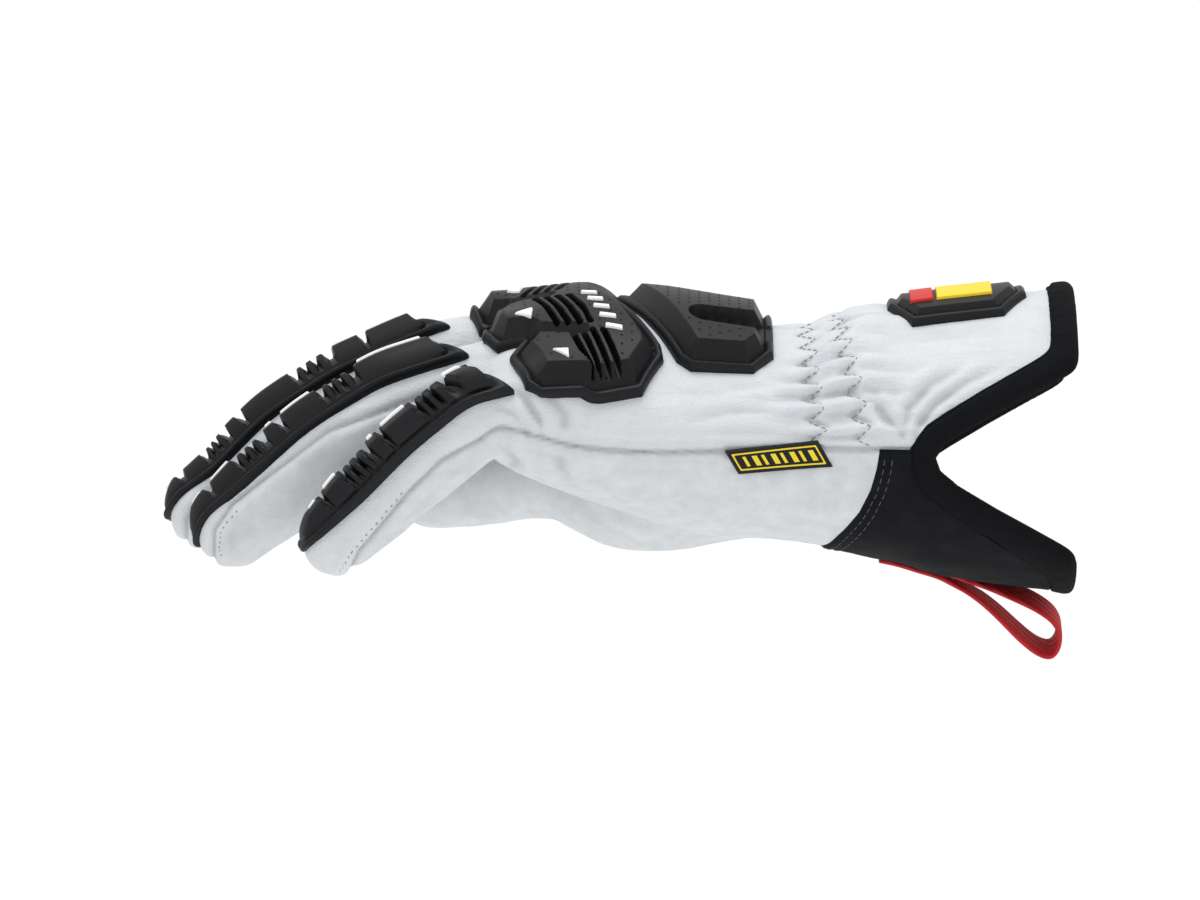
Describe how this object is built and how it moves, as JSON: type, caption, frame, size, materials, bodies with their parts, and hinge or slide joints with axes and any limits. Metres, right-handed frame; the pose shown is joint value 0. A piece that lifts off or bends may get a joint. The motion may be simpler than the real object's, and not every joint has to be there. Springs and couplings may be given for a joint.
{
  "type": "mechanic glove",
  "caption": "Left-hand work glove in smooth leather with moulded impact guards over the fingers, knuckles and back of the hand, a gathered wrist, a notched cuff and a pull loop.",
  "frame": {"origin": "middle of the wrist neck, where a forearm would hold the glove", "axes": "+X along the forearm out of the cuff, -X along the fingers, -Y the little-finger side, +Y the thumb side, +Z out of the back of the hand"},
  "size_m": [0.2436, 0.0943, 0.0994],
  "materials": {
    "white_leather": "smooth white grain leather, matt",
    "suede_leather": "light grey suede-side leather, slightly mottled",
    "black_suede": "black suede with a short nap",
    "black_fleece": "black brushed knit binding",
    "black_rubber": "black moulded thermoplastic rubber, satin",
    "white_rubber": "white moulded thermoplastic rubber, satin",
    "red_rubber": "red moulded rubber, satin",
    "yellow_rubber": "yellow moulded rubber, satin",
    "label_cloth": "black woven label with a yellow border",
    "red_webbing": "red woven polyester webbing"
  },
  "bodies": {
    "root": {"back_leather": "white_leather", "palm_leather": "suede_leather", "thumb_leather": "suede_leather", "cuff_panel": "black_suede", "cuff_binding": "black_fleece", "little_guard": "black_rubber", "little_bar_1": "white_rubber", "little_bar_2": "white_rubber", "little_bar_3": "white_rubber", "little_bar_4": "white_rubber", "little_bar_5": "white_rubber", "ring_guard": "black_rubber", "ring_bar_1": "white_rubber", "ring_bar_2": "white_rubber", "ring_bar_3": "white_rubber", "ring_bar_4": "white_rubber", "ring_bar_5": "white_rubber", "middle_guard": "black_rubber", "middle_bar_1": "white_rubber", "middle_bar_2": "white_rubber", "middle_bar_3": "white_rubber", "middle_bar_4": "white_rubber", "middle_bar_5": "white_rubber", "middle_bar_6": "white_rubber", "index_guard": "black_rubber", "index_bar_1": "white_rubber", "index_bar_2": "white_rubber", "index_bar_3": "white_rubber", "index_bar_4": "white_rubber", "index_bar_5": "white_rubber", "index_bar_6": "white_rubber", "knuckle_guard": "black_rubber", "arrow_guard": "black_rubber", "knuckle_triangle_1": "white_rubber", "knuckle_triangle_2": "white_rubber", "knuckle_triangle_3": "white_rubber", "knuckle_triangle_4": "white_rubber", "band_bar_1": "white_rubber", "band_bar_2": "white_rubber", "band_bar_3": "white_rubber", "band_bar_4": "white_rubber", "band_bar_5": "white_rubber", "cuff_badge": "black_rubber", "badge_red_plate": "red_rubber", "badge_yellow_plate": "yellow_rubber", "side_label": "label_cloth", "pull_loop": "red_webbing"}
  },
  "joints": []
}
